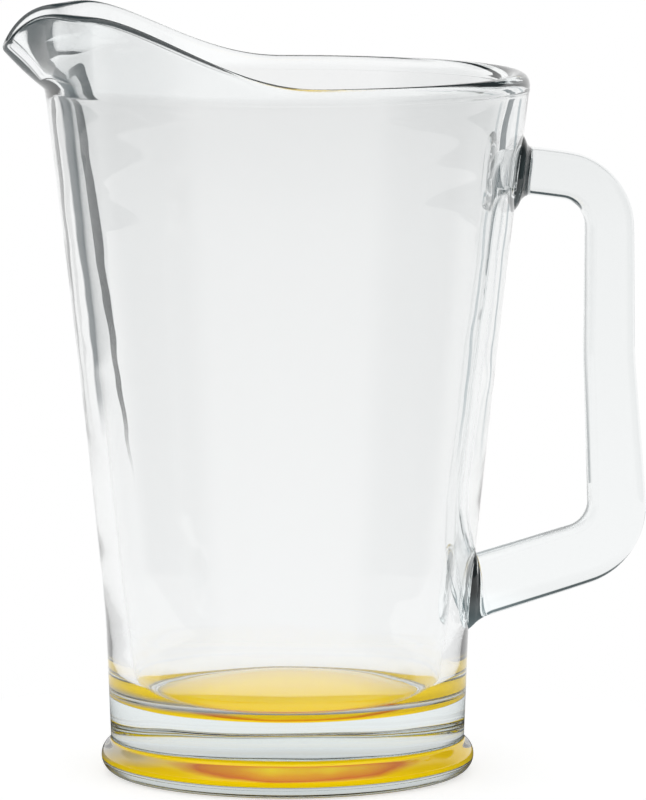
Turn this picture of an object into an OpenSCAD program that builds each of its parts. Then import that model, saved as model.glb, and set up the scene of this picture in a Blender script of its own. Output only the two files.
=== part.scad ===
// Glass beer pitcher: a heavy-based tapered bowl on a rolled foot, with a
// raised pouring lip, a loop handle fused to the wall and an amber coat under the base.
// Millimetres. +Z is up, the origin is the centre of the standing ring on the table,
// the handle points to +X and the spout to -X.

/* [Bowl] */
// Height of the plain lip above the table
bowl_h = 206.2; // [170:0.2:250]
// Outer radius of the wall at the mouth
mouth_r = 71.4; // [64:0.1:84]
// Outer radius where the wall bends above the heavy base
shoulder_r = 53.5; // [48:0.1:62]
// Height of that bend
shoulder_z = 47; // [40:0.5:60]
// Outer radius just above the foot
neck_r = 52; // [44:0.1:62]
// How far the long taper bows in from a straight line
wall_sag = 0.6; // [0:0.1:2]
// Wall thickness at the mouth
mouth_wall_t = 7.2; // [5:0.1:9]
// Wall thickness at the bend
shoulder_wall_t = 5.8; // [4:0.1:8]
// Height of the inside floor at its edge
floor_z = 21.2; // [16:0.2:30]
// How far the middle of the floor is domed up above its edge
floor_dome = 3.2; // [0:0.1:7]
// How far the round corner between the floor and the wall reaches in from the wall
floor_corner_r = 7.5; // [4:0.5:22]
// Height of that corner
floor_corner_h = 12; // [4:0.5:18]

/* [Foot] */
// Largest radius of the rolled foot
foot_r = 54.9; // [50:0.1:60]
// Height of the foot, up to the crease under the wall
foot_h = 9.6; // [8:0.1:14]
// Radius of the roll round the foot
foot_roll_r = 5; // [3.8:0.1:6.5]
// Radius of the shallow recess under the foot
recess_r = 46.5; // [40:0.5:48]
// Depth of that recess
recess_h = 1.1; // [0.8:0.1:2.5]

/* [Amber coat] */
// Thickness of the coat sprayed in the recess
coat_t = 0.5; // [0.3:0.05:0.7]

/* [Pouring lip] */
// Height of the plain lip above the seam line round the bowl
lip_h = 4.6; // [4.2:0.1:8]
// Height of the spout's crown above the plain lip
crown_h = 18.8; // [8:0.2:28]
// How far the beak drops from the crown to its tip
beak_drop = 9.6; // [4:0.2:13]
// How far the beak reaches out past the lip
beak_reach = 12.8; // [6:0.2:16]
// How much thinner the glass is at the crown than at the seam
crown_thinning = 3.6; // [0:0.1:4.2]
// Half of the angle over which the lip stands higher than the plain lip
rise_half_deg = 93; // [80:1:110]
// Half of the angle over which the crown is level
crown_half_deg = 32; // [20:1:45]
// Spread of the beak, seen from above
beak_spread_deg = 12; // [9:0.5:18]
// Spread of the drop from the crown to the tip
drop_spread_deg = 8; // [7:0.5:14]

/* [Handle] */
// Distance below the plain lip at which the upper arm's middle meets the wall
upper_joint_z = 29; // [20:0.5:47]
// How far the upper arm falls on its way out to the grip
upper_arm_fall = 3.6; // [0:0.2:10]
// Height at which the lower arm's middle meets the wall
lower_joint_z = 53.6; // [45:0.5:70]
// How far the lower arm rises on its way out to the grip
lower_arm_rise = 13; // [4:0.5:20]
// Distance of the grip's middle line outside the mouth
grip_offset = 23.5; // [20:0.1:32]
// Distance below the upper joint at which the grip starts to lean outwards
grip_bend_z = 55.2; // [40:0.2:73]
// How far the grip leans out between that bend and its lower corner
grip_lean = 3.2; // [0:0.1:7]
// Radius of the upper corner, on the middle line
upper_corner_r = 15.5; // [10:0.5:18]
// Radius of the lower corner, on the middle line
lower_corner_r = 16; // [10:0.5:20]
// Radius of the gentle bend in the grip
grip_bend_r = 120; // [60:5:200]
// Height of the upper arm
upper_arm_w = 14; // [10:0.1:16]
// Width of the grip, seen from the side
grip_w = 14.9; // [12:0.1:18]
// Height of the lower arm
lower_arm_w = 18.4; // [13:0.1:20]
// Thickness of the handle across the grip
handle_t = 17; // [12:0.5:22]

/* [Welds] */
// Length of handle over which a weld flares out to the wall
weld_l = 4.5; // [3:0.5:10]
// How much wider the upper weld is than the arm, on each side, at the wall
upper_weld_flare = 5; // [2:0.2:7]
// How much wider the lower weld is than the arm, on each side, at the wall
lower_weld_flare = 3.4; // [2:0.2:7]
// How far the upper weld's middle lies down the wall below the arm's middle line
upper_weld_drop = 0.8; // [0:0.2:4]
// How far the lower weld's middle lies down the wall below the arm's middle line
lower_weld_drop = 0; // [0:0.2:4]

/* [Hidden] */
$fn = 96;

// Facets of the glass: sections along a sweep, and points on each stretch of an outline
spout_sections = 84;
side_points = 8;
crest_points = 9;
ring_points = 28;
corner_points = 12;
floor_points = 8;
wall_points = 14;
weld_sections = 9;

// Shares chosen by eye: the beak's knee in its height and in its reach, the squareness of the handle's
// section and the bunching of the spout's sections towards the beak
knee_share = 0.5;
knee_out_share = 0.5;
square_share = 0.62;
bunch_share = 0.45;

// Powers that set how late a rounding begins: the dome of the floor towards its edge, a weld's flare
dome_power = 3;
flare_power = 3;

// Foot: a roll round a collar as wide as the neck
roll_mid_r = foot_r - foot_roll_r;

// Wall: the outside bends at the shoulder, the inside is one straight taper
seam_z = bowl_h - lip_h;
inner_slope = (mouth_r - mouth_wall_t - shoulder_r + shoulder_wall_t) / (bowl_h - shoulder_z);

function taper_share(z) = (z - shoulder_z) / (bowl_h - shoulder_z);
function neck_side_r(z) = neck_r + (shoulder_r - neck_r) * (z - foot_h) / (shoulder_z - foot_h);
function taper_r(t) = shoulder_r + (mouth_r - shoulder_r) * t - 4 * wall_sag * t * (1 - t);
function outer_r(z) = z < shoulder_z ? neck_side_r(z) : taper_r(taper_share(z));
function inner_r(z) = shoulder_r - shoulder_wall_t + inner_slope * (z - shoulder_z);

// The floor's corner is a quarter of an ellipse that runs into the taper and into the floor
floor_corner_z = floor_z + floor_corner_h;
floor_corner_mid_r = inner_r(floor_corner_z) - norm([floor_corner_r, inner_slope * floor_corner_h]);
floor_corner_turn = atan2(inner_slope * floor_corner_h, floor_corner_r);

outer_profile = concat(
  [[0, foot_h], [neck_r, foot_h]],
  [for (i = [0 : wall_points]) let (z = shoulder_z + (seam_z - shoulder_z) * i / wall_points) [outer_r(z), z]]
);
inner_profile = concat(
  [[inner_r(seam_z), seam_z]],
  [for (i = [0 : corner_points])
    let (a = -floor_corner_turn + (floor_corner_turn - 90) * i / corner_points)
    [floor_corner_mid_r + floor_corner_r * cos(a), floor_corner_z + floor_corner_h * sin(a)]],
  [for (i = [1 : floor_points])
    let (t = 1 - i / floor_points)
    [floor_corner_mid_r * t, floor_z + floor_dome * (1 - t ^ dome_power)]]
);

// Pouring lip: each section is a strip of glass that stands on the seam and ends in a round crest
seam_mid_r = (outer_r(seam_z) + inner_r(seam_z)) / 2;
seam_half_t = (outer_r(seam_z) - inner_r(seam_z)) / 2;

function rise_share(a) =
  a <= crown_half_deg ? 1
  : a >= rise_half_deg ? 0
  : (1 + cos(180 * (a - crown_half_deg) / (rise_half_deg - crown_half_deg))) / 2;
function bell_share(a, spread) = exp(-((a / spread) ^ 2));
function crest_half_t(a) = seam_half_t - crown_thinning / 2 * rise_share(a);
function crest_z(a) = bowl_h + crown_h * rise_share(a) - beak_drop * bell_share(a, drop_spread_deg);
function crest_mid(a) =
  let (z = crest_z(a) - crest_half_t(a))
  [seam_mid_r + inner_slope * (z - seam_z) + beak_reach * bell_share(a, beak_spread_deg), z];
function knee(a) =
  let (
    rise = (crest_mid(a)[1] - seam_z) * knee_share,
    out = beak_reach * bell_share(a, beak_spread_deg) * knee_out_share
  )
  [seam_mid_r + inner_slope * rise + out, seam_z + rise];
function crest_lean(a) = let (last = crest_mid(a) - knee(a)) atan2(last[0], last[1]);
function bezier(p, q, r, t) = p * (1 - t) ^ 2 + q * 2 * t * (1 - t) + r * t ^ 2;

// One section of the lip at angle a from the spout's middle: up the outside, over the crest, down the inside
function lip_side(a, side, t) =
  let (
    mid = bezier([seam_mid_r, seam_z], knee(a), crest_mid(a), t),
    lean = crest_lean(a) * t,
    half_t = seam_half_t + (crest_half_t(a) - seam_half_t) * t
  )
  mid + side * half_t * [cos(lean), -sin(lean)];
function lip_section(a) =
  concat(
    [for (i = [0 : side_points - 1]) lip_side(a, 1, i / side_points)],
    [for (i = [0 : crest_points])
      let (b = 180 * i / crest_points - crest_lean(a))
      crest_mid(a) + crest_half_t(a) * [cos(b), sin(b)]],
    [for (i = [side_points - 1 : -1 : 0]) lip_side(a, -1, i / side_points)]
  );

// Angles of the spout's sections, closer together at the beak
function bunched(u) = u * (1 - bunch_share) + u ^ 3 * bunch_share;
spout_angles = [for (i = [0 : spout_sections]) rise_half_deg * bunched(2 * i / spout_sections - 1)];

// Handle: a middle line of straight arms and round corners in the XZ plane
upper_z = bowl_h - upper_joint_z;
bend_z = upper_z - grip_bend_z;
upper_joint = [outer_r(upper_z), upper_z];
upper_corner = [mouth_r + grip_offset, upper_z - upper_arm_fall];
grip_bend = [mouth_r + grip_offset, bend_z];
lower_corner = [mouth_r + grip_offset + grip_lean, lower_joint_z + lower_arm_rise];
lower_joint = [outer_r(lower_joint_z), lower_joint_z];

function unit(v) = v / norm(v);
function arc_turn(from, to) = let (d = to - from) d > 180 ? d - 360 : d < -180 ? d + 360 : d;
function corner_half(a, b, c) = acos(unit(a - b) * unit(c - b)) / 2;
function corner_cut(a, b, c, r) = r / tan(corner_half(a, b, c));
function round_corner(a, b, c, r) =
  let (
    u = unit(a - b),
    v = unit(c - b),
    half = corner_half(a, b, c),
    mid = b + unit(u + v) * r / sin(half),
    from = b + u * r / tan(half) - mid,
    to = b + v * r / tan(half) - mid,
    start = atan2(from[1], from[0]),
    turn = arc_turn(start, atan2(to[1], to[0]))
  )
  u + v == [0, 0] ? [b]
  : [for (i = [0 : corner_points])
    let (w = start + turn * i / corner_points)
    mid + r * [cos(w), sin(w)]];

// The gentle bend keeps to the straight stretch that the two corners leave it
bend_room = min(
  norm(upper_corner - grip_bend) - corner_cut(upper_joint, upper_corner, grip_bend, upper_corner_r),
  norm(lower_corner - grip_bend) - corner_cut(grip_bend, lower_corner, lower_joint, lower_corner_r)
);
bend_r = min(grip_bend_r, bend_room * tan(corner_half(upper_corner, grip_bend, lower_corner)));

upper_dir = unit(upper_corner - upper_joint);
lower_dir = unit(lower_corner - lower_joint);
handle_line = concat(
  [upper_joint + upper_dir * weld_l],
  round_corner(upper_joint, upper_corner, grip_bend, upper_corner_r),
  round_corner(upper_corner, grip_bend, lower_corner, bend_r),
  round_corner(grip_bend, lower_corner, lower_joint, lower_corner_r),
  [lower_joint + lower_dir * weld_l]
);
line_end = len(handle_line) - 1;

// Direction of the middle line, and the width of the handle, at each of its points
function line_dir(i) =
  i == 0 ? upper_dir
  : i == line_end ? -lower_dir
  : unit(handle_line[i + 1] - handle_line[i - 1]);
function line_width(p) =
  p[1] > bend_z
  ? grip_w + (upper_arm_w - grip_w) * (p[1] - bend_z) / (upper_z - bend_z)
  : grip_w + (lower_arm_w - grip_w) * (bend_z - p[1]) / (bend_z - lower_joint_z);

// A rounded square ring about a point, across the direction n in the XZ plane and the Y axis
function square_off(c) = sign(c) * abs(c) ^ square_share;
function bar_ring(p, n, width, thick) =
  [for (k = [0 : ring_points - 1])
    let (
      w = 360 * k / ring_points,
      off = p + n * width / 2 * square_off(cos(w)),
      y = thick / 2 * square_off(sin(w))
    )
    [off[0], y, off[1]]];
function across(d) = [-d[1], d[0]];

// A weld's rings run from the arm's end to a burial inside the wall, turning to lie along the wall
weld_burial = shoulder_wall_t;
function wall_dir(z) = unit([outer_r(z + weld_l) - outer_r(z - weld_l), 2 * weld_l]);
function weld_ring(joint, dir, width, flare, drop, t) =
  let (
    share = min(t, 1),
    grown = 2 * flare * share ^ flare_power,
    wall = wall_dir(joint[1]),
    n = unit(across(dir) * (1 - share) + wall * share),
    away = t <= 1 ? weld_l * (1 - t) : -weld_burial
  )
  bar_ring(joint + dir * away - wall * drop * share, n, width + grown, handle_t + grown);

// Skin over a row of rings with as many points each, closed at both ends
module skin(rings) {
  count = len(rings[0]);
  last = len(rings) - 1;
  sides = [for (i = [0 : last - 1]) for (k = [0 : count - 1])
    let (a = i * count + k, b = i * count + (k + 1) % count)
    each [[a, b, a + count], [b, b + count, a + count]]];
  ends = [[for (k = [count - 1 : -1 : 0]) k], [for (k = [0 : count - 1]) last * count + k]];
  polyhedron([for (ring = rings) each ring], concat(sides, ends));
}

module clear_glass() {
  color("lightcyan", 0.45) children();
}

module bowl() {
  clear_glass() rotate_extrude() polygon(concat(outer_profile, inner_profile));
}

module foot() {
  clear_glass() rotate_extrude() difference() {
    union() {
      square([roll_mid_r, foot_h]);
      translate([0, foot_roll_r]) square([neck_r, foot_h - foot_roll_r]);
      intersection() {
        translate([roll_mid_r, foot_roll_r]) circle(foot_roll_r);
        square([foot_r, foot_h]);
      }
    }
    square([recess_r, recess_h]);
  }
}

module rim() {
  plain = 180 - rise_half_deg;
  clear_glass() rotate([0, 0, -plain]) rotate_extrude(angle = 2 * plain) intersection() {
    union() {
      translate(crest_mid(rise_half_deg)) circle(seam_half_t);
      polygon([for (side = [1, -1]) for (t = side > 0 ? [0, 1] : [1, 0]) lip_side(rise_half_deg, side, t)]);
    }
    translate([inner_r(seam_z), seam_z]) square([mouth_r, lip_h]);
  }
}

module spout() {
  clear_glass() skin([for (a = spout_angles)
    [for (p = lip_section(abs(a))) [-p[0] * cos(a), -p[0] * sin(a), p[1]]]]);
}

module handle() {
  clear_glass() skin([for (i = [0 : line_end])
    bar_ring(handle_line[i], across(line_dir(i)), line_width(handle_line[i]), handle_t)]);
}

module weld(joint, dir, width, flare, drop) {
  clear_glass() difference() {
    skin([for (i = [0 : weld_sections])
      weld_ring(joint, dir, width, flare, drop, i / (weld_sections - 1))]);
    rotate_extrude() polygon(concat(outer_profile, [[0, seam_z]]));
  }
}

module upper_weld() {
  width = line_width(handle_line[0]);
  weld(upper_joint, upper_dir, width, upper_weld_flare, upper_weld_drop);
}

module lower_weld() {
  width = line_width(handle_line[line_end]);
  weld(lower_joint, lower_dir, width, lower_weld_flare, lower_weld_drop);
}

module amber_coat() {
  color("goldenrod") translate([0, 0, recess_h - coat_t]) cylinder(r = recess_r, h = coat_t);
}

bowl();
foot();
rim();
spout();
handle();
upper_weld();
lower_weld();
amber_coat();
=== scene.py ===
# %% [markdown]
# # A glass beer pitcher
# The pitcher is pressed from clear glass: a tapered bowl on a heavy base, a raised pouring lip,
# a loop handle that is fused to the wall, and an amber coat sprayed under the foot.
# Everything is in metres, with +Z up, the handle towards +X and the spout towards -X. The solid
# model is loaded first and never moved, so each new piece only has to follow its sizes.

# %% Load the solid model
import math

import bmesh
import bpy
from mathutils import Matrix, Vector


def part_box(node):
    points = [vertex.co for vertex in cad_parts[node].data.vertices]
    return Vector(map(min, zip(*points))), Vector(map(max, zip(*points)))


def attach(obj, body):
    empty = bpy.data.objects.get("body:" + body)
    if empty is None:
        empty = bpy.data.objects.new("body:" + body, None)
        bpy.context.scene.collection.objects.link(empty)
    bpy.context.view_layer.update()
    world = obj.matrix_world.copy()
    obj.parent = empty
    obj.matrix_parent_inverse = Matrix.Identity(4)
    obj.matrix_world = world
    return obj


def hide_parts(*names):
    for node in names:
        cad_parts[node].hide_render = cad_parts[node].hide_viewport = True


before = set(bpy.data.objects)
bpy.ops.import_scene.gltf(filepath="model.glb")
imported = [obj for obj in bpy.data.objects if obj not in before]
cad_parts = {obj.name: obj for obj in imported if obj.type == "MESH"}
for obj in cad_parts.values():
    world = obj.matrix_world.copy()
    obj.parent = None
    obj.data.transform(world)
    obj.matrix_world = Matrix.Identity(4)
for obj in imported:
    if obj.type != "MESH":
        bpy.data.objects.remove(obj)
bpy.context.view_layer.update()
MM = 0.001
print("solid nodes:", sorted(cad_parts))

# %% [markdown]
# ## Camera
# The photograph was taken with a long lens from a little above the table, with the spout turned
# slightly towards the lens. A camera object could be placed by hand in the viewport, but aiming it
# with a track quaternion keeps its roll at zero and lets the distance and the aim stay readable.

# %% Place the camera
EYE = Vector((-177.0, -2142.7, 368.0)) * MM
AIM = Vector((10.4, -0.9, 109.7)) * MM
LENS_MM = 332.3

camera = bpy.data.objects.new("camera", bpy.data.cameras.new("camera"))
bpy.context.scene.collection.objects.link(camera)
camera.location = EYE
camera.rotation_euler = (AIM - EYE).to_track_quat("-Z", "Y").to_euler()
camera.data.lens = LENS_MM
camera.data.clip_end = 30
bpy.context.scene.camera = camera
bpy.context.scene.view_settings.view_transform = "Standard"
print("camera to aim, in metres:", round((AIM - EYE).length, 3))

# %% [markdown]
# ## Sizes
# The glass follows the sizes of the solid model. Those that a node's box gives are read from the
# frame, and the rest are named here, so that the meshes and the solids stay the same shape.

# %% Read and name the sizes
bowl_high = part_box("bowl")[1]
foot_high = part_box("foot")[1]
coat_low, coat_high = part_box("amber_coat")
handle_low, handle_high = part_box("handle")

FOOT_H = foot_high[2]
FOOT_R = foot_high[0]
FOOT_ROLL_R = 5 * MM
RECESS_R = coat_high[0]
RECESS_H = coat_high[2]
COAT_T = coat_high[2] - coat_low[2]

SEAM_Z = bowl_high[2]
LIP_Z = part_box("rim")[1][2]
MOUTH_R = 71.4 * MM
SHOULDER_R = 53.5 * MM
SHOULDER_Z = 47 * MM
NECK_R = 52 * MM
WALL_SAG = 0.6 * MM
MOUTH_WALL = 7.2 * MM
SHOULDER_WALL = 5.8 * MM
FLOOR_Z = 21.2 * MM
FLOOR_CORNER_R = 7.5 * MM
FLOOR_CORNER_H = 12 * MM
FLOOR_DOME = 3.2 * MM
DOME_POWER = 3

CROWN_H = 18.8 * MM
BEAK_DROP = 9.6 * MM
BEAK_REACH = 12.8 * MM
CROWN_THINNING = 3.6 * MM
RISE_HALF = math.radians(93)
CROWN_HALF = math.radians(32)
BEAK_SPREAD = math.radians(12)
DROP_SPREAD = math.radians(8)
KNEE_SHARE = 0.5
KNEE_OUT_SHARE = 0.5

INNER_SLOPE = (MOUTH_R - MOUTH_WALL - SHOULDER_R + SHOULDER_WALL) / (LIP_Z - SHOULDER_Z)


def outer_radius(z):
    """Outside radius of the wall at a height."""
    if z < SHOULDER_Z:
        return NECK_R + (SHOULDER_R - NECK_R) * (z - FOOT_H) / (SHOULDER_Z - FOOT_H)
    share = (z - SHOULDER_Z) / (LIP_Z - SHOULDER_Z)
    return SHOULDER_R + (MOUTH_R - SHOULDER_R) * share - 4 * WALL_SAG * share * (1 - share)


def inner_radius(z):
    """Inside radius of the wall at a height."""
    return SHOULDER_R - SHOULDER_WALL + INNER_SLOPE * (z - SHOULDER_Z)


print("wall at the seam in mm:", round((outer_radius(SEAM_Z) - inner_radius(SEAM_Z)) / MM, 2))

# %% [markdown]
# ## Throwing the glass
# The bowl, foot, rim and spout are one run of glass on the real pitcher, so they are one closed
# mesh. A spin of the outline would give the round part, but not the lip, which changes round the
# rim. Instead a disc is thrown like a pot: its edge is extruded ring after ring, and each ring is
# scaled and lifted to its radius and height. The columns stand closer together at the spout, where
# the beak is narrow.

# %% Helpers that throw rings
COLUMNS = 144
SPOUT_BUNCHING = 0.5
HUB_SHARE = 1 / 8


def edit_new(name, add_primitive, **settings):
    """Adds a primitive with nothing else selected, and opens it in edit mode."""
    bpy.ops.object.select_all(action="DESELECT")
    add_primitive(**settings)
    piece = bpy.context.object
    piece.name = piece.data.name = name
    bpy.ops.object.mode_set(mode="EDIT")
    return piece


def place_ring(piece, place):
    """Moves each selected vertex to the place that a function gives for its turn round the ring."""
    mesh = bmesh.from_edit_mesh(piece.data)
    turn = mesh.verts.layers.float["turn"]
    for vert in mesh.verts:
        if vert.select:
            vert.co = place(vert[turn])
    bmesh.update_edit_mesh(piece.data)


def extrude_ring(piece, place):
    """Extrudes the selected ring and places the new one."""
    bpy.ops.mesh.extrude_region_move()
    place_ring(piece, place)


def round_ring(radius, z):
    """A level ring about the pitcher's axis."""
    return lambda turn: Vector((-radius * math.cos(turn), -radius * math.sin(turn), z))


def name_turns(piece, turn_of):
    """Keeps each vertex's turn round the ring in a layer, which extruded vertices inherit."""
    mesh = bmesh.from_edit_mesh(piece.data)
    turn = mesh.verts.layers.float.new("turn")
    for vert in mesh.verts:
        vert[turn] = turn_of(vert.co)
    bmesh.update_edit_mesh(piece.data)


def finish_mesh(piece, levels):
    """Closes the last ring to a point, turns the faces outwards and rounds the mesh off."""
    bpy.ops.mesh.merge(type="CENTER")
    bpy.ops.mesh.select_all(action="SELECT")
    bpy.ops.mesh.normals_make_consistent(inside=False)
    bpy.ops.object.mode_set(mode="OBJECT")
    piece.data.attributes.remove(piece.data.attributes["turn"])
    rounding = piece.modifiers.new("rounding", "SUBSURF")
    rounding.levels = rounding.render_levels = levels
    bpy.ops.object.modifier_apply(modifier=rounding.name)
    bpy.ops.object.shade_smooth()
    print(piece.name, "faces:", len(piece.data.polygons))


def plain_turn(point):
    """Turn from +X, with even columns."""
    return math.atan2(point.y, point.x)


def spout_turn(point):
    """Turn from the spout, with the columns bunched towards it."""
    turn = math.atan2(-point.y, -point.x)
    return turn - SPOUT_BUNCHING * math.sin(turn)


def start_disc(name, columns, radius, z, turn_of):
    """A small level disc to throw from, in edit mode with its edge selected."""
    piece = edit_new(name, bpy.ops.mesh.primitive_circle_add,
                     vertices=columns, radius=radius, fill_type="TRIFAN", location=(0, 0, z))
    bpy.ops.object.mode_set(mode="OBJECT")
    bpy.ops.object.transform_apply(location=True)
    bpy.ops.object.mode_set(mode="EDIT")
    name_turns(piece, turn_of)
    bpy.ops.mesh.region_to_loop()
    place_ring(piece, round_ring(radius, z))
    return piece


print("columns round the glass:", COLUMNS)


# %% [markdown]
# ## Foot
# The foot is a roll of glass round a shallow recess, so that the pitcher stands on a narrow ring. A
# torus could be joined on, but its seam would show through the glass, so the roll is thrown in the
# same run of rings, with a small round crease where it meets the wall.

# %% Throw the foot
EDGE = 0.25 * MM
ROLL_R = FOOT_R - FOOT_ROLL_R
ROLL_RINGS = 10
CREASE_R = 1.2 * MM
crease_out = NECK_R + CREASE_R - ROLL_R
crease_up = math.sqrt((FOOT_ROLL_R + CREASE_R) ** 2 - crease_out ** 2)
crease_turn = math.atan2(crease_up, crease_out)
CREASE_RINGS = 4

glass = start_disc("pitcher_glass", COLUMNS, RECESS_R * HUB_SHARE, RECESS_H, spout_turn)
for radius in (RECESS_R / 2, RECESS_R - 2 * EDGE, RECESS_R - EDGE / 2):
    extrude_ring(glass, round_ring(radius, RECESS_H))
extrude_ring(glass, round_ring(RECESS_R, RECESS_H - EDGE / 2))
extrude_ring(glass, round_ring(RECESS_R, EDGE))
extrude_ring(glass, round_ring(RECESS_R + EDGE, 0))
extrude_ring(glass, round_ring(ROLL_R - EDGE, 0))
for step in range(ROLL_RINGS + 1):
    turn = -math.pi / 2 + (crease_turn + math.pi / 2) * step / ROLL_RINGS
    extrude_ring(glass, round_ring(ROLL_R + FOOT_ROLL_R * math.cos(turn),
                                   FOOT_ROLL_R + FOOT_ROLL_R * math.sin(turn)))
for step in range(1, CREASE_RINGS + 1):
    turn = math.pi + crease_turn * (1 - step / CREASE_RINGS)
    extrude_ring(glass, round_ring(NECK_R + CREASE_R + CREASE_R * math.cos(turn),
                                   FOOT_ROLL_R + crease_up + CREASE_R * math.sin(turn)))
print("crease at mm:", round((FOOT_ROLL_R + crease_up) / MM, 2))

# %% [markdown]
# ## Outside of the wall
# The wall leans out from the shoulder to the mouth and bows in a little on the way. A few rings are
# enough, because the subdivision rounds them off. The last one stands out by a fraction of a
# millimetre: that is the seam of the mould, the thin line under the lip. A ring close below it holds
# the wall straight, or the rounding would bend the wall well before the seam.

# %% Throw the outside of the wall
NECK_RINGS = 5
WALL_RINGS = 12
SEAM_RIDGE = 0.2 * MM
SEAM_RIDGE_H = 0.9 * MM
SEAM_HOLD = 3 * MM

neck_z = FOOT_ROLL_R + crease_up
for step in range(1, NECK_RINGS):
    z = neck_z + (SHOULDER_Z - neck_z) * step / NECK_RINGS
    extrude_ring(glass, round_ring(outer_radius(z), z))
for step in range(WALL_RINGS + 1):
    z = SHOULDER_Z + (SEAM_Z - SEAM_HOLD - SHOULDER_Z) * step / WALL_RINGS
    extrude_ring(glass, round_ring(outer_radius(z), z))
extrude_ring(glass, round_ring(outer_radius(SEAM_Z - SEAM_RIDGE_H), SEAM_Z - SEAM_RIDGE_H))
extrude_ring(glass, round_ring(outer_radius(SEAM_Z) + SEAM_RIDGE, SEAM_Z - SEAM_RIDGE_H / 3))
print("wall thrown up to mm:", round(SEAM_Z / MM, 1))

# %% [markdown]
# ## Pouring lip
# Above the seam the lip is a strip of glass that swings out into the beak and ends in a round
# crest. Each ring goes round all of its sections at once, so its vertices are placed by a formula.

# %% Shape of the lip
LIP_SIDE_RINGS = 8
CREST_RINGS = 9
SEAM_MID = (outer_radius(SEAM_Z) + inner_radius(SEAM_Z)) / 2
SEAM_HALF = (outer_radius(SEAM_Z) - inner_radius(SEAM_Z)) / 2


def rise_share(turn):
    """How much of the crown's height the lip has at a turn from the spout."""
    share = (abs(turn) - CROWN_HALF) / (RISE_HALF - CROWN_HALF)
    return (1 + math.cos(math.pi * min(max(share, 0), 1))) / 2


def bell_share(turn, spread):
    """A smooth bump round the middle of the spout."""
    return math.exp(-(turn / spread) ** 2)


def crest_half(turn):
    """Half of the glass's thickness at the crest."""
    return SEAM_HALF - CROWN_THINNING / 2 * rise_share(turn)


def crest_middle(turn):
    """Middle of the round crest, as radius and height."""
    top = LIP_Z + CROWN_H * rise_share(turn) - BEAK_DROP * bell_share(turn, DROP_SPREAD)
    z = top - crest_half(turn)
    return Vector((SEAM_MID + INNER_SLOPE * (z - SEAM_Z) + BEAK_REACH * bell_share(turn, BEAK_SPREAD), z))


def lip_curve(turn):
    """The three points of the curve that the strip's middle follows."""
    foot = Vector((SEAM_MID, SEAM_Z))
    crest = crest_middle(turn)
    rise = (crest.y - SEAM_Z) * KNEE_SHARE
    out = INNER_SLOPE * rise + KNEE_OUT_SHARE * BEAK_REACH * bell_share(turn, BEAK_SPREAD)
    return foot, Vector((SEAM_MID + out, SEAM_Z + rise)), crest


def on_axis(turn, section):
    """A section's radius and height as a place round the axis."""
    return round_ring(section.x, section.y)(turn)


def lip_side(side, share):
    """A ring up the outside (side 1) or the inside (side -1) of the lip."""
    def place(turn):
        foot, knee, crest = lip_curve(turn)
        middle = foot * (1 - share) ** 2 + knee * 2 * share * (1 - share) + crest * share ** 2
        swing = share * math.atan2(crest.x - knee.x, crest.y - knee.y)
        half = SEAM_HALF + (crest_half(turn) - SEAM_HALF) * share
        return on_axis(turn, middle + side * half * Vector((math.cos(swing), -math.sin(swing))))
    return place


def lip_crest(share):
    """A ring over the round crest, from the outside (0) to the inside (1)."""
    def place(turn):
        foot, knee, crest = lip_curve(turn)
        along = (crest - knee).normalized()
        swing = math.atan2(-along.x, along.y) + math.pi * share
        return on_axis(turn, crest + crest_half(turn) * Vector((math.cos(swing), math.sin(swing))))
    return place


print("crest at the crown in mm:", [round(value / MM, 1) for value in crest_middle(CROWN_HALF)])

# %% [markdown]
# ## Over the crest
# The rings climb the outside of the lip, turn over the crest and come down its inside. A solidify
# modifier could thicken one skin instead, but it keeps one thickness, and this lip grows thinner
# towards the crown.

# %% Raise the lip and come back down inside
for step in range(LIP_SIDE_RINGS):
    extrude_ring(glass, lip_side(1, step / LIP_SIDE_RINGS))
for step in range(CREST_RINGS + 1):
    extrude_ring(glass, lip_crest(step / CREST_RINGS))
for step in range(LIP_SIDE_RINGS - 1, -1, -1):
    extrude_ring(glass, lip_side(-1, step / LIP_SIDE_RINGS))
print("rings in the lip:", 2 * LIP_SIDE_RINGS + CREST_RINGS + 1)

# %% [markdown]
# ## Inside and floor
# The inside is one straight taper that runs through a round corner into a slightly domed floor. A
# bevel on the bottom edge would give a quarter of a circle. This corner is a quarter of an ellipse,
# higher than it is wide, so that the colour under the base shows some way up the wall.

# %% Throw the inside of the wall and the floor
CORNER_RINGS = 9
FLOOR_SHARES = (0.985, 0.95, 0.85, 0.7, 0.5, 0.25, 0.1, 0.05)
corner_z = FLOOR_Z + FLOOR_CORNER_H
corner_r = inner_radius(corner_z) - math.hypot(FLOOR_CORNER_R, INNER_SLOPE * FLOOR_CORNER_H)
slope_turn = math.atan2(INNER_SLOPE * FLOOR_CORNER_H, FLOOR_CORNER_R)
corner_top = corner_z - FLOOR_CORNER_H * math.sin(slope_turn)

for step in range(WALL_RINGS + 1):
    z = SEAM_Z - SEAM_HOLD - (SEAM_Z - SEAM_HOLD - corner_top) * step / (WALL_RINGS + 1)
    extrude_ring(glass, round_ring(inner_radius(z), z))
for step in range(CORNER_RINGS + 1):
    turn = -slope_turn - (math.pi / 2 - slope_turn) * step / CORNER_RINGS
    extrude_ring(glass, round_ring(corner_r + FLOOR_CORNER_R * math.cos(turn),
                                   corner_z + FLOOR_CORNER_H * math.sin(turn)))
for share in FLOOR_SHARES:
    extrude_ring(glass, round_ring(corner_r * share, FLOOR_Z + FLOOR_DOME * (1 - share ** DOME_POWER)))
finish_mesh(glass, 1)

# %% [markdown]
# ## Handle
# The handle is a bar with a rounded square section that runs out from the wall, round two corners
# and back. Its ends flare where the hot bar was pressed on. A curve with a bevel would keep one
# section all the way, so the bar is extruded ring by ring instead. Its two ends lie along the wall
# and reach a hair into it, so that the glass looks fused.

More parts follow.
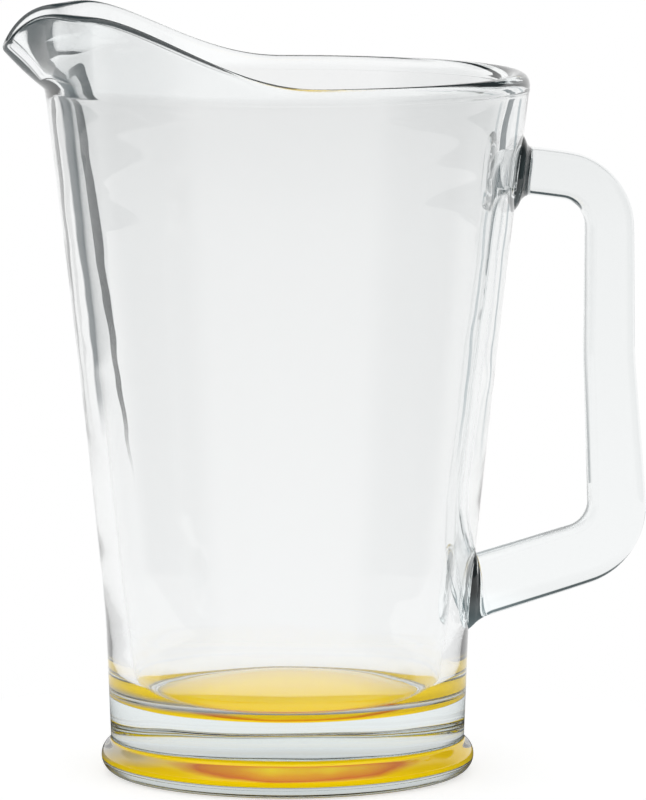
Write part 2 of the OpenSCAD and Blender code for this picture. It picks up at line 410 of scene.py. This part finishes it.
# %% Middle line of the handle
RING_POINTS = 32
SQUARE_SHARE = 0.62
UPPER_JOINT_Z = LIP_Z - 29 * MM
LOWER_JOINT_Z = 53.6 * MM
UPPER_ARM_FALL = 3.6 * MM
LOWER_ARM_RISE = 13 * MM
GRIP_X = MOUTH_R + 23.5 * MM
GRIP_BEND_Z = UPPER_JOINT_Z - 55.2 * MM
GRIP_LEAN = 3.2 * MM
UPPER_CORNER_R = 15.5 * MM
LOWER_CORNER_R = 16 * MM
GRIP_BEND_R = 120 * MM
UPPER_ARM_W = 14 * MM
GRIP_W = 14.9 * MM
LOWER_ARM_W = 18.4 * MM
HANDLE_T = handle_high[1] - handle_low[1]
WELD_L = 4.5 * MM
UPPER_WELD_FLARE = 5 * MM
LOWER_WELD_FLARE = 3.4 * MM
UPPER_WELD_DROP = 0.8 * MM
LOWER_WELD_DROP = 0 * MM
FLARE_POWER = 3
CORNER_STEPS = 10

upper_joint = Vector((outer_radius(UPPER_JOINT_Z), UPPER_JOINT_Z))
lower_joint = Vector((outer_radius(LOWER_JOINT_Z), LOWER_JOINT_Z))
upper_corner = Vector((GRIP_X, UPPER_JOINT_Z - UPPER_ARM_FALL))
grip_bend = Vector((GRIP_X, GRIP_BEND_Z))
lower_corner = Vector((GRIP_X + GRIP_LEAN, LOWER_JOINT_Z + LOWER_ARM_RISE))


def round_corner(before, corner, after, radius):
    """Points of an arc that rounds a corner of the middle line."""
    back = (before - corner).normalized()
    on = (after - corner).normalized()
    half = back.angle(on) / 2
    middle = corner + (back + on).normalized() * radius / math.sin(half)
    start = corner + back * radius / math.tan(half) - middle
    sweep = (corner + on * radius / math.tan(half) - middle).angle_signed(start)
    arc = []
    for step in range(CORNER_STEPS + 1):
        turn = math.atan2(start.y, start.x) + sweep * step / CORNER_STEPS
        arc.append(middle + radius * Vector((math.cos(turn), math.sin(turn))))
    return arc


upper_way = (upper_corner - upper_joint).normalized()
lower_way = (lower_corner - lower_joint).normalized()
handle_line = [upper_joint + upper_way * WELD_L]
handle_line += round_corner(upper_joint, upper_corner, grip_bend, UPPER_CORNER_R)
handle_line += round_corner(upper_corner, grip_bend, lower_corner, GRIP_BEND_R)
handle_line += round_corner(grip_bend, lower_corner, lower_joint, LOWER_CORNER_R)
handle_line += [lower_joint + lower_way * WELD_L]
print("handle line points:", len(handle_line))

# %% [markdown]
# ### Section of the handle
# The bar's section lies between a circle and a square. A bevelled box would leave flats, so a circle's
# sine and cosine are raised to a power, which pushes its sides out evenly. At each end the rings grow
# and turn until they lie along the wall.

# %% Rings of the handle


def squared(value):
    """Pushes a circle's coordinate out towards a square."""
    return math.copysign(abs(value) ** SQUARE_SHARE, value)


def bar_ring(middle, across, width, thick):
    """A rounded square ring about a point of the middle line."""
    def place(turn):
        off = middle + across * width / 2 * squared(math.cos(turn))
        return Vector((off.x, thick / 2 * squared(math.sin(turn)), off.y))
    return place


def line_width(z):
    """Width of the bar, seen from the side, at a height."""
    if z > GRIP_BEND_Z:
        return GRIP_W + (UPPER_ARM_W - GRIP_W) * (z - GRIP_BEND_Z) / (UPPER_JOINT_Z - GRIP_BEND_Z)
    return GRIP_W + (LOWER_ARM_W - GRIP_W) * (GRIP_BEND_Z - z) / (GRIP_BEND_Z - LOWER_JOINT_Z)


def across_way(way):
    """The direction across a direction of the middle line."""
    return Vector((-way.y, way.x))


def wall_way(z):
    """Direction of the wall's side at a height."""
    return Vector((outer_radius(z + WELD_L) - outer_radius(z - WELD_L), 2 * WELD_L)).normalized()


def weld_ring(joint, way, across, width, flare, drop, share):
    """A ring of the flare, from the bar (share 0) to the wall (share 1)."""
    wall = wall_way(joint.y)
    grown = 2 * flare * share ** FLARE_POWER
    turned = (across * (1 - share) + wall * share).normalized()
    middle = joint + way * WELD_L * (1 - share) - wall * drop * share
    return bar_ring(middle, turned, width + grown, HANDLE_T + grown)


def on_wall(ring, joint, drop, share, depth):
    """A ring drawn in towards the weld's middle and laid a little under the wall's outside."""
    centre_z = joint.y - drop

    def place(turn):
        point = ring(turn)
        y = point.y * share
        z = centre_z + (point.z - centre_z) * share
        return Vector((math.sqrt((outer_radius(z) - depth) ** 2 - y ** 2), y, z))
    return place


print("bar width at its ends in mm:", [round(line_width(handle_line[end].y) / MM, 1) for end in (0, -1)])

# %% [markdown]
# ### One bar from weld to weld
# The bar starts as a small disc just inside the wall at the upper weld. It is extruded along its
# middle line to the lower weld, where it closes again. A closed body is what the renderer needs to
# bend light as glass does.

# %% Extrude the handle
WELD_RINGS = 9
CAP_SHARES = (0.1, 0.3, 0.55, 0.8, 0.96, 1)
WELD_DEPTH = 0.4 * MM

upper = dict(joint=upper_joint, way=upper_way, across=across_way(upper_way),
             width=line_width(handle_line[0].y), flare=UPPER_WELD_FLARE, drop=UPPER_WELD_DROP)
lower = dict(joint=lower_joint, way=lower_way, across=across_way(lower_way),
             width=line_width(handle_line[-1].y), flare=LOWER_WELD_FLARE, drop=LOWER_WELD_DROP)


def cap_rings(weld):
    """Rings that lie along the wall, from the middle of a weld out to its edge."""
    edge = weld_ring(share=1, **weld)
    return [on_wall(edge, weld["joint"], weld["drop"], share, WELD_DEPTH) for share in CAP_SHARES]


def flare_rings(weld):
    """Rings of a weld's flare, from just off the wall out to the bar."""
    return [weld_ring(share=1 - step / WELD_RINGS, **weld) for step in range(1, WELD_RINGS)]


bar_rings = []
for index, point in enumerate(handle_line):
    before = handle_line[max(index - 1, 0)]
    after = handle_line[min(index + 1, len(handle_line) - 1)]
    across = across_way((after - before).normalized())
    bar_rings.append(bar_ring(point, across, line_width(point.y), HANDLE_T))


def mirrored(rings):
    """The lower weld looks along the bar the other way, so its rings are numbered the other way."""
    return [lambda turn, ring=ring: ring(math.pi - turn) for ring in rings]


rings = cap_rings(upper) + flare_rings(upper) + bar_rings
rings += mirrored(flare_rings(lower)[::-1] + cap_rings(lower)[::-1])

handle = edit_new("handle_glass", bpy.ops.mesh.primitive_circle_add,
                  vertices=RING_POINTS, radius=HANDLE_T * HUB_SHARE, fill_type="TRIFAN")
name_turns(handle, plain_turn)
mesh = bmesh.from_edit_mesh(handle.data)
for vert in mesh.verts:
    vert.co = Vector((outer_radius(UPPER_JOINT_Z) - WELD_DEPTH, 0, UPPER_JOINT_Z))
bmesh.update_edit_mesh(handle.data)
bpy.ops.mesh.region_to_loop()
place_ring(handle, rings[0])
for ring in rings[1:]:
    extrude_ring(handle, ring)
finish_mesh(handle, 2)

# %% [markdown]
# ## Amber coat
# The colour is a lacquer sprayed into the recess under the foot. It touches the glass with no air
# between, so the disc reaches a hair up into the glass: a ray inside the base then meets the lacquer
# before the glass ends, just as on the real one.

# %% Make the coat
COAT_BOND = 0.1 * MM
COAT_GAP = 0.15 * MM
COAT_COLUMNS = 96
COAT_SHARES = (0.3, 0.5, 0.7, 0.9, 0.995)
COAT_HUB_SHARE = 0.1
coat_r = RECESS_R - COAT_GAP
coat_top = RECESS_H + COAT_BOND
coat_bottom = RECESS_H - COAT_T

coat = start_disc("amber_lacquer", COAT_COLUMNS, coat_r * HUB_SHARE, coat_top, plain_turn)
for share in COAT_SHARES:
    extrude_ring(coat, round_ring(coat_r * share, coat_top))
extrude_ring(coat, round_ring(coat_r, RECESS_H))
extrude_ring(coat, round_ring(coat_r, coat_bottom + EDGE / 2))
for share in (*COAT_SHARES[::-1], COAT_HUB_SHARE):
    extrude_ring(coat, round_ring(coat_r * share, coat_bottom))
finish_mesh(coat, 1)

# %% [markdown]
# ## Finishes
# Shader nodes are wired by a small class: Python's own operators add Math nodes, and one method
# adds any other node. That reads better than a page of links. A few short methods stand for the
# nodes that come back in every finish.

# %% A wire between shader nodes


class Wire:
    """An output socket that can be used in sums, or an empty tree to start from."""

    def __init__(self, tree, socket=None):
        self.tree = tree
        self.socket = socket

    def node(self, kind, sockets=None, out=0, stops=None, **settings):
        """Adds a node: its settings first, then its ramp's stops, then its sockets."""
        made = self.tree.nodes.new(kind)
        for name, value in settings.items():
            setattr(made, name, value)
        for index, (place, colour) in enumerate(stops or ()):
            ramp = made.color_ramp.elements
            stop = ramp[index] if index < 2 else ramp.new(place)
            stop.position = place
            stop.color = (*colour, 1)
        for name, value in (sockets or {}).items():
            socket = self.find(made.inputs, name)
            if isinstance(value, Wire):
                self.tree.links.new(value.socket, socket)
            else:
                socket.default_value = value
        return Wire(self.tree, self.find(made.outputs, out)) if made.outputs else made

    @staticmethod
    def find(sockets, name):
        """A socket by its number, or the one of that name that is in use."""
        if isinstance(name, int):
            return sockets[name]
        return next(socket for socket in sockets if socket.name == name and socket.enabled)

    def sum(self, operation, first, second):
        """A Math node on two values."""
        return self.node("ShaderNodeMath", {0: first, 1: second}, operation=operation)

    def axis(self, name):
        """One coordinate of a place."""
        return self.node("ShaderNodeSeparateXYZ", {0: self}, out=name)

    def length(self):
        """Distance of a place from the origin."""
        return self.node("ShaderNodeVectorMath", {0: self}, out="Value", operation="LENGTH")

    def along(self, way):
        """How far a place lies along a direction."""
        return self.node("ShaderNodeVectorMath", {0: self, 1: way}, out="Value", operation="DOT_PRODUCT")

    def unsigned(self):
        """A value without its sign."""
        return self.node("ShaderNodeMath", {0: self}, operation="ABSOLUTE")

    def between(self, low, high, start=0.0, end=1.0, **settings):
        """A value's way from low to high, told as a number from start to end."""
        return self.node("ShaderNodeMapRange", {0: self, 1: low, 2: high, 3: start, 4: end}, **settings)

    def __add__(self, other):
        return self.sum("ADD", self, other)

    def __sub__(self, other):
        return self.sum("SUBTRACT", self, other)

    def __rsub__(self, other):
        return self.sum("SUBTRACT", other, self)

    def __mul__(self, other):
        return self.sum("MULTIPLY", self, other)

    __radd__ = __add__
    __rmul__ = __mul__


def new_material(name):
    """An empty material and its wire."""
    material = bpy.data.materials.new(name)
    material.use_nodes = True
    material.node_tree.nodes.clear()
    return material, Wire(material.node_tree)


print("wire methods:", sum(not name.startswith("_") for name in vars(Wire)))

# %% [markdown]
# ### Fused glass
# No surface is left inside the real pitcher where the handle has melted into the wall. A boolean union
# would take those faces away, but it cuts slivers into both meshes. Here the bodies stay whole, and
# Alpha opens the faces that lie inside the joint, so that light passes straight through them.

# %% Where the handle is fused to the wall
WELD_SHARE = 0.97
FUSED_DEPTH = 0.2 * MM
OUTSIDE_DEPTH = 3 * MM


def wall_depth(wire, place):
    """How far a point lies under the outside of the wall."""
    x, y, z = (place.axis(name) for name in "XYZ")
    radius = wire.node("ShaderNodeCombineXYZ", {"X": x, "Y": y}).length()
    share = (z - SHOULDER_Z) * (1 / (LIP_Z - SHOULDER_Z))
    taper = SHOULDER_R + (MOUTH_R - SHOULDER_R) * share - 4 * WALL_SAG * share * (1 - share)
    neck = NECK_R + (z - FOOT_H) * ((SHOULDER_R - NECK_R) / (SHOULDER_Z - FOOT_H))
    return wire.sum("MAXIMUM", taper, neck) - radius


def weld_print(wire, place, weld):
    """1 inside the outline that a weld covers on the wall, and 0 outside."""
    total = 0
    for axis, middle, width in (("Y", 0, HANDLE_T), ("Z", weld["joint"].y - weld["drop"], weld["width"])):
        off = (place.axis(axis) - middle).unsigned()
        half = (width / 2 + weld["flare"]) * WELD_SHARE
        total = total + wire.sum("POWER", off * (1 / half), 2 / SQUARE_SHARE)
    return wire.sum("LESS_THAN", total, 1) * wire.sum("GREATER_THAN", place.axis("X"), 0)


def wall_alpha(wire, place):
    """The wall's outside is open under the two welds."""
    covered = weld_print(wire, place, upper) + weld_print(wire, place, lower)
    outside = wire.sum("LESS_THAN", wall_depth(wire, place), OUTSIDE_DEPTH)
    return 1 - covered * outside


def handle_alpha(wire, place):
    """The handle's two ends are open where they lie inside the wall."""
    return wire.sum("LESS_THAN", wall_depth(wire, place), FUSED_DEPTH)


print("fused below mm:", FUSED_DEPTH / MM)


# %% [markdown]
# ### Clear glass
# Pressed glass is never quite even. Its sides carry shallow waves from the mould, and it is a little grey.
# A plain glass shader shows none of that, so a drawn-out noise bumps the normal. A ramp over the height
# sets the grey: the glass's faint tint, painted shade that deepens up the wall, darker grey over the
# lowest few millimetres, and a lighter lip above the seam as a painted highlight. Light runs round in the
# thick lip and in the handle's roots for longer than the renderer follows it, and a trace of glow gives it
# back.

# %% Clear glass
GLASS_IOR = 1.52
THICK_COLOUR = (0.80, 0.88, 0.88, 1)
THICK_DENSITY = 7.0
# Height above which the lip is painted lighter: a painted highlight.
LIP_HIGHLIGHT_Z = SEAM_Z + 2.2 * MM
# Grey over the height: the glass's faint tint, painted shade deepening up the wall, and darker grey at the
# very foot.
TINT_AND_SHADE_STEPS = ((0.0, 0.50), (0.003, 0.58), (0.006, 0.90), (0.02, 0.955), (0.03, 0.962), (0.06, 0.957),
              (0.10, 0.946), (0.16, 0.930), (0.185, 0.906), (LIP_HIGHLIGHT_Z - 0.001, 0.885), (LIP_HIGHLIGHT_Z, 0.97))
CLOUD_H = 0.5 * MM
COOL = 1.003
WAVE_H = 0.3 * MM
WAVE_SCALE = (22, 22, 60)
TRAPPED_LIGHT = (0.75, 0.95, 1.0)
GLOW_STRENGTH = 0.2
DIM_SHARE = 0.06
DIM_LIGHT = tuple(DIM_SHARE * value for value in TRAPPED_LIGHT)
ROOT_GLOW_H = 14 * MM
LIP_GLOW = ((SEAM_Z, (0, 0, 0)), (LIP_HIGHLIGHT_Z, DIM_LIGHT))
HANDLE_GLOW = ((LOWER_JOINT_Z - ROOT_GLOW_H, TRAPPED_LIGHT), (LOWER_JOINT_Z, DIM_LIGHT))
RAMP_H = 0.25


def height_ramp(wire, z, steps):
    """Colours over the height, from steps of a height and a colour."""
    return wire.node("ShaderNodeValToRGB", {"Fac": z * (1 / RAMP_H)}, stops=[
        (height / RAMP_H, colour) for height, colour in steps])


def clear_glass(name, shade_power, alpha, glow_steps):
    """Glass with a faint grey tint, painted shade that deepens up the wall and a painted highlight on the
    lip; the grey is raised to a power, once for the wall and twice for the handle, whose painted shade is
    darker.
    """
    material, wire = new_material(name)
    place = wire.node("ShaderNodeTexCoord", out="Object")
    z = place.axis("Z")
    cloud = wire.node("ShaderNodeTexNoise", {"Vector": place, "Scale": 30, "Detail": 2})
    # Tint plus painted shade up the wall, and the lip's painted highlight.
    tint_and_shade = height_ramp(wire, z + (cloud - 0.5) * CLOUD_H, [
        (height, (grey ** shade_power, grey ** shade_power * COOL, grey ** shade_power * COOL))
        for height, grey in TINT_AND_SHADE_STEPS])
    drawn = wire.node("ShaderNodeMapping", {"Vector": place, "Scale": WAVE_SCALE})
    wave = wire.node("ShaderNodeTexNoise", {"Vector": drawn, "Scale": 1, "Detail": 1})
    normal = wire.node("ShaderNodeBump", {"Height": wave, "Strength": 1.0, "Distance": WAVE_H})
    surface = wire.node("ShaderNodeBsdfPrincipled", {
        "Base Color": tint_and_shade, "Roughness": cloud * 0.01, "Alpha": alpha(wire, place), "Normal": normal,
        "IOR": GLASS_IOR, "Transmission Weight": 1.0,
        "Emission Color": height_ramp(wire, z, glow_steps), "Emission Strength": GLOW_STRENGTH})
    depth = wire.node("ShaderNodeVolumeAbsorption", {"Color": THICK_COLOUR, "Density": THICK_DENSITY})
    wire.node("ShaderNodeOutputMaterial", {"Surface": surface, "Volume": depth})
    return material


wall_finish = clear_glass("clear_glass", 1, wall_alpha, LIP_GLOW)
# The handle's grey is squared, so its painted shade is darker.
handle_finish = clear_glass("handle_glass", 2, handle_alpha, HANDLE_GLOW)
print("glass finishes:", wall_finish.name, handle_finish.name)

# %% [markdown]
# ### Amber lacquer
# The lacquer is a translucent film that is lit from both sides. Light through so thin a film takes long
# to render, so the film is opaque here and its own colour glows a little. A deeper orange band near the
# front is painted shade, and a grey-beige patch at the edge on the spout's side is a painted reflection.

# %% Amber lacquer
# Grey-beige of the painted reflection at the coat's edge on the spout's side.
REFLECTION_GREY = (0.50, 0.47, 0.42, 1)
# Yellow to deep orange across the coat: the orange band near the front is painted shade.
SHADE_BAND_STOPS = (
    (0.2, (0.97, 0.68, 0.0)), (0.28, (0.86, 0.38, 0.0)), (0.4, (0.68, 0.16, 0.0)),
    (0.5, (0.97, 0.64, 0.0)), (1.0, (0.97, 0.67, 0.0)))
COAT_GLOW = 0.68


def amber_lacquer():
    """Yellow lacquer with a deeper orange band of painted shade near the front, and a grey-beige painted
    reflection at its edge on the spout's side.
    """
    material, wire = new_material("amber_lacquer")
    place = wire.node("ShaderNodeTexCoord", out="Object")
    cloud = wire.node("ShaderNodeTexNoise", {"Vector": place, "Scale": 45, "Detail": 5})
    reach = place.length() * (1 / RECESS_R)
    x, y = (place.axis(name) * (1 / RECESS_R) for name in "XY")
    # Painted shade: a deeper orange band near the front of the coat.
    shade_band = wire.node("ShaderNodeValToRGB", {"Fac": y + 1 + (cloud - 0.5) * 0.3}, stops=SHADE_BAND_STOPS)
    # Painted reflection: grey-beige near the outer edge, on the -X side only.
    edge_reach = (reach + (cloud - 0.5) * 0.2).between(0.8, 1.0)
    spout_side = x.between(-0.4, -0.75)
    colour = wire.node("ShaderNodeMix", {"Factor": edge_reach * spout_side, "A": shade_band, "B": REFLECTION_GREY},
                       out="Result", data_type="RGBA")
    lit = reach.between(0.5, 0.85, 1.0, 0.6)
    glow = wire.node("ShaderNodeVectorMath", {0: colour, "Scale": lit}, out="Vector", operation="SCALE")
    surface = wire.node("ShaderNodeBsdfPrincipled", {
        "Base Color": colour, "Roughness": 0.5 + cloud * 0.15, "Specular IOR Level": 0.0,
        "Emission Color": glow, "Emission Strength": COAT_GLOW})
    wire.node("ShaderNodeOutputMaterial", {"Surface": surface})
    return material


amber_finish = amber_lacquer()
for piece, finish in ((glass, wall_finish), (handle, handle_finish), (coat, amber_finish)):
    piece.data.materials.clear()
    piece.data.materials.append(finish)
    print(piece.name, "wears", finish.name)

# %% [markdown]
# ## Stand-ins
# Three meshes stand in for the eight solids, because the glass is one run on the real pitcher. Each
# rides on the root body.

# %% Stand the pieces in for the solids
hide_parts("bowl", "foot", "rim", "spout")
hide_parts("handle", "upper_weld", "lower_weld")
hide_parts("amber_coat")
for piece, slot in ((glass, "clear_glass"), (handle, "clear_glass"), (coat, "amber_coat")):
    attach(piece, "root")
print("pieces:", ", ".join(piece.name for piece in (glass, handle, coat)))

# %% [markdown]
# ## Table
# The table is white to the lens and keeps the pitcher's shadow. A plain white plane would do for a
# solid object, but glass mirrors the table too: close to the foot its mirror image is darker, as it
# is when the pitcher itself keeps the light off.

# %% Table
TABLE_R = 0.9
TABLE_SIDES = 96
WHITE = (1, 1, 1, 1)
TABLE_GLOW = 0.58
FADE_FROM, FADE_TO = 0.06, 0.16
UNDER_FROM, UNDER_TO, UNDER_SHADE = 0.046, 0.052, 0.83
MIRROR_FROM, MIRROR_TO = 0.12, 0.2


def grey_paint(wire, grey):
    """A plain matt grey."""
    return wire.node("ShaderNodeBsdfDiffuse", {"Color": (grey, grey, grey, 1)})


def white_table():
    """White to the lens and the glass, dark under the foot and in mirror images close to it."""
    material, wire = new_material("white_table")
    shown, glossy, through = (wire.node("ShaderNodeLightPath", out=f"Is {kind} Ray")
                              for kind in ("Camera", "Glossy", "Transmission"))
    reach = wire.node("ShaderNodeTexCoord", out="Object").length()
    lit = grey_paint(wire, 0.6)
    glow = wire.node("ShaderNodeEmission", {"Color": WHITE, "Strength": TABLE_GLOW})
    open_top = wire.node("ShaderNodeAddShader", {0: lit, 1: glow})
    under = reach.between(UNDER_FROM, UNDER_TO, UNDER_SHADE, 0.0)
    near = wire.node("ShaderNodeMixShader", {0: under * (1 - shown), 1: open_top, 2: lit})
    edge = wire.node("ShaderNodeEmission", {"Color": WHITE, "Strength": 1.0})
    faded = wire.node("ShaderNodeMixShader", {0: reach.between(FADE_FROM, FADE_TO), 1: near, 2: edge})
    mirror_near = reach.between(MIRROR_FROM, MIRROR_TO, 1.0, 0.0) * glossy * (1 - through)
    top = wire.node("ShaderNodeMixShader", {0: mirror_near, 1: faded, 2: grey_paint(wire, 0.1)})
    seen = wire.sum("MAXIMUM", wire.sum("MAXIMUM", shown, glossy), through)
    surface = wire.node("ShaderNodeMixShader", {0: seen, 1: grey_paint(wire, 0.7), 2: top})
    wire.node("ShaderNodeOutputMaterial", {"Surface": surface})
    return material


bpy.ops.object.select_all(action="DESELECT")
bpy.ops.mesh.primitive_circle_add(vertices=TABLE_SIDES, radius=TABLE_R, fill_type="NGON")
table = bpy.context.object
table.name = "table"
table.data.materials.append(white_table())
print("table radius in metres:", TABLE_R)

# %% [markdown]
# ## Dark cards
# Clear glass shows what stands behind it, so in a studio its edges are drawn with dark cards just out
# of the frame. Each card is a plane square to the camera's way. Its numbers are how far it stands
# behind the axis, its grey, and rows of a height and two sides, so that it follows the taper, with the
# lengths in millimetres. It shows only to light that has met the glass several times.

# %% Dark cards
FORWARD = math.atan2(AIM.x - EYE.x, AIM.y - EYE.y)
CARD_CUTS = 24
DEEP_RAY = 2.5
SOFT = dict(interpolation_type="SMOOTHSTEP")
CARDS = {
    "left_edge_card": (90, 0.02, ((70, -64.5, -63), (123, -81.5, -73), (160, -98, -80.5), (212, -121, -100))),
    "left_side_card": (80, 0.12, ((74, -126, -300), (212, -120, -330))),
    "right_edge_card": (90, 0.40, ((70, 86, 79), (123, 97, 89), (160, 107, 99), (200, 118, 108))),
    "right_side_card": (80, 0.15, ((150, 136, 158), (205, 130, 152))),
}


def card_place(depth, rows, across, up):
    """A place on a card that stands behind the pitcher, square to the camera's way."""
    spot = up * (len(rows) - 1)
    row = min(int(spot), len(rows) - 2)
    z, near, far = Vector(rows[row]).lerp(Vector(rows[row + 1]), spot - row)
    x = near + (far - near) * across
    return Vector((x * math.cos(FORWARD) + depth * math.sin(FORWARD),
                   depth * math.cos(FORWARD) - x * math.sin(FORWARD), z)) * MM


def dark_card(name, grey):
    """A slate card that fades out at its ends and stops sharply at its sides."""
    material, wire = new_material(name)
    place = wire.node("ShaderNodeUVMap")
    across, up = (place.axis(name) for name in "XY")
    sides = wire.node("ShaderNodeValToRGB", {"Fac": across}, stops=(
        (0.0, (0, 0, 0)), (0.04, (1, 1, 1)), (0.96, (1, 1, 1)), (1.0, (0, 0, 0))))
    low = up.between(0.0, 0.2, **SOFT)
    top = up.between(1.0, 0.93, **SOFT)
    dark = wire.node("ShaderNodeEmission", {"Color": (grey * 0.8, grey, grey * 1.08, 1), "Strength": 1.0})
    clear = wire.node("ShaderNodeBsdfTransparent")
    deep = wire.sum("GREATER_THAN", wire.node("ShaderNodeLightPath", out="Ray Depth"), DEEP_RAY)
    surface = wire.node("ShaderNodeMixShader", {0: sides * low * top * deep, 1: clear, 2: dark})
    wire.node("ShaderNodeOutputMaterial", {"Surface": surface})
    return material


for name, (depth, grey, rows) in CARDS.items():
    card = edit_new(name, bpy.ops.mesh.primitive_plane_add, size=1)
    bpy.ops.mesh.subdivide(number_cuts=CARD_CUTS)
    bpy.ops.object.mode_set(mode="OBJECT")
    for vert in card.data.vertices:
        vert.co = card_place(depth, rows, vert.co.x + 0.5, vert.co.y + 0.5)
    card.data.materials.append(dark_card(name, grey))
    card.visible_camera = card.visible_diffuse = card.visible_shadow = False
print("dark cards:", len(CARDS))

# %% [markdown]
# ## Surround
# The rest of the studio is even white light. A softer way would be lamps and tents, but a world shader
# needs no objects. Dark flags to the left and right draw the edges of the handle, and one dark band
# high up behind the pitcher keeps white off the front of the floor, where the amber is deepest.

# %% Surround
FLAG_COLOUR = (0.12, 0.15, 0.16, 1)
BAND_COLOUR = (0.05, 0.07, 0.075)
BAND_STOPS = ((0.0, (1, 1, 1)), (0.37, (1, 1, 1)), (0.41, BAND_COLOUR), (0.58, BAND_COLOUR),
              (0.66, (1, 1, 1)), (1.0, (1, 1, 1)))

world = bpy.data.worlds.new("surround")
bpy.context.scene.world = world
world.use_nodes = True
world.node_tree.nodes.clear()
wire = Wire(world.node_tree)
way = wire.node("ShaderNodeTexCoord", out="Generated")
band = wire.node("ShaderNodeValToRGB", {"Fac": way.axis("Z")}, stops=BAND_STOPS)
ahead = way.along((math.sin(FORWARD), math.cos(FORWARD), 0)).between(0.45, 0.65, **SOFT)
colour = wire.node("ShaderNodeMix", {"Factor": ahead, "A": WHITE, "B": band}, out="Result", data_type="RGBA")
beside = way.along((math.cos(FORWARD), -math.sin(FORWARD), 0)).unsigned().between(0.72, 0.96, **SOFT)
colour = wire.node("ShaderNodeMix", {"Factor": beside, "A": colour, "B": FLAG_COLOUR},
                   out="Result", data_type="RGBA")
surface = wire.node("ShaderNodeBackground", {"Color": colour, "Strength": 1.0})
wire.node("ShaderNodeOutputWorld", {"Surface": surface})
print("world nodes:", len(world.node_tree.nodes))

# %% [markdown]
# ## Sizes at the end
# The dressed pitcher has to stay inside the box of the solids.
